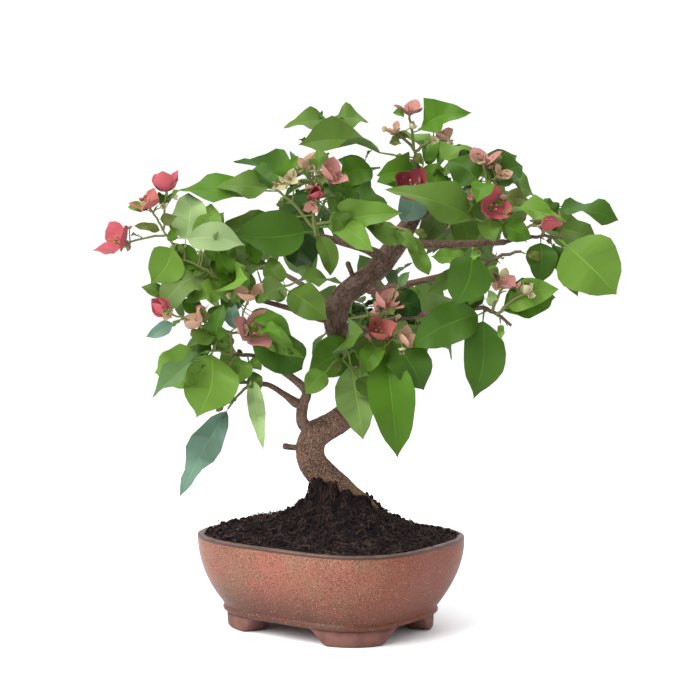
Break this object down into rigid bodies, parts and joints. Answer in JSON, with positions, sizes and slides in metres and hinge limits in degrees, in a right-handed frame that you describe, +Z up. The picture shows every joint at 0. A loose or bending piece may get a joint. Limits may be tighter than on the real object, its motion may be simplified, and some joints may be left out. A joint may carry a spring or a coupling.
{
  "type": "potted bougainvillea bonsai",
  "caption": "Bougainvillea bonsai with a winding tapered trunk, spreading leafy boughs and papery pink bracts, rooted in heaped soil in a low soft-cornered glazed pot on feet.",
  "frame": {"origin": "on the ground under the middle of the whole plant's bounding box", "axes": "+X along the pot's long side, +Y across the pot, +Z up; the pictured front of the tree faces 36.4 degrees from -Y towards +X"},
  "size_m": [0.4054, 0.4054, 0.4627],
  "materials": {
    "glaze": "speckled reddish-brown glaze with a soft gloss, bare brown clay on the feet and lip",
    "soil": "matt dark peat with fine tan fibres",
    "bark": "matt grey-brown bark, finely fissured along the limb",
    "foliage": "satin mid-green leaves with coral to crimson papery bracts"
  },
  "bodies": {
    "root": {"pot": "glaze", "soil": "soil", "trunk": "bark", "lower_left_bough": "bark", "lower_left_limb": "bark", "left_bough": "bark", "upper_left_bough": "bark", "rear_left_bough": "bark", "top_bough": "bark", "upper_right_bough": "bark", "mid_right_bough": "bark", "low_right_bough": "bark", "back_left_bough": "bark", "back_right_bough": "bark", "back_bough": "bark", "left_tip_foliage": "foliage", "left_low_foliage": "foliage", "hanging_left_foliage": "foliage", "back_left_foliage": "foliage", "upper_left_foliage": "foliage", "top_left_foliage": "foliage", "top_foliage": "foliage", "upper_right_foliage": "foliage", "right_foliage": "foliage", "mid_right_foliage": "foliage", "low_right_foliage": "foliage", "centre_foliage": "foliage", "back_foliage": "foliage", "back_right_foliage": "foliage"}
  },
  "joints": []
}
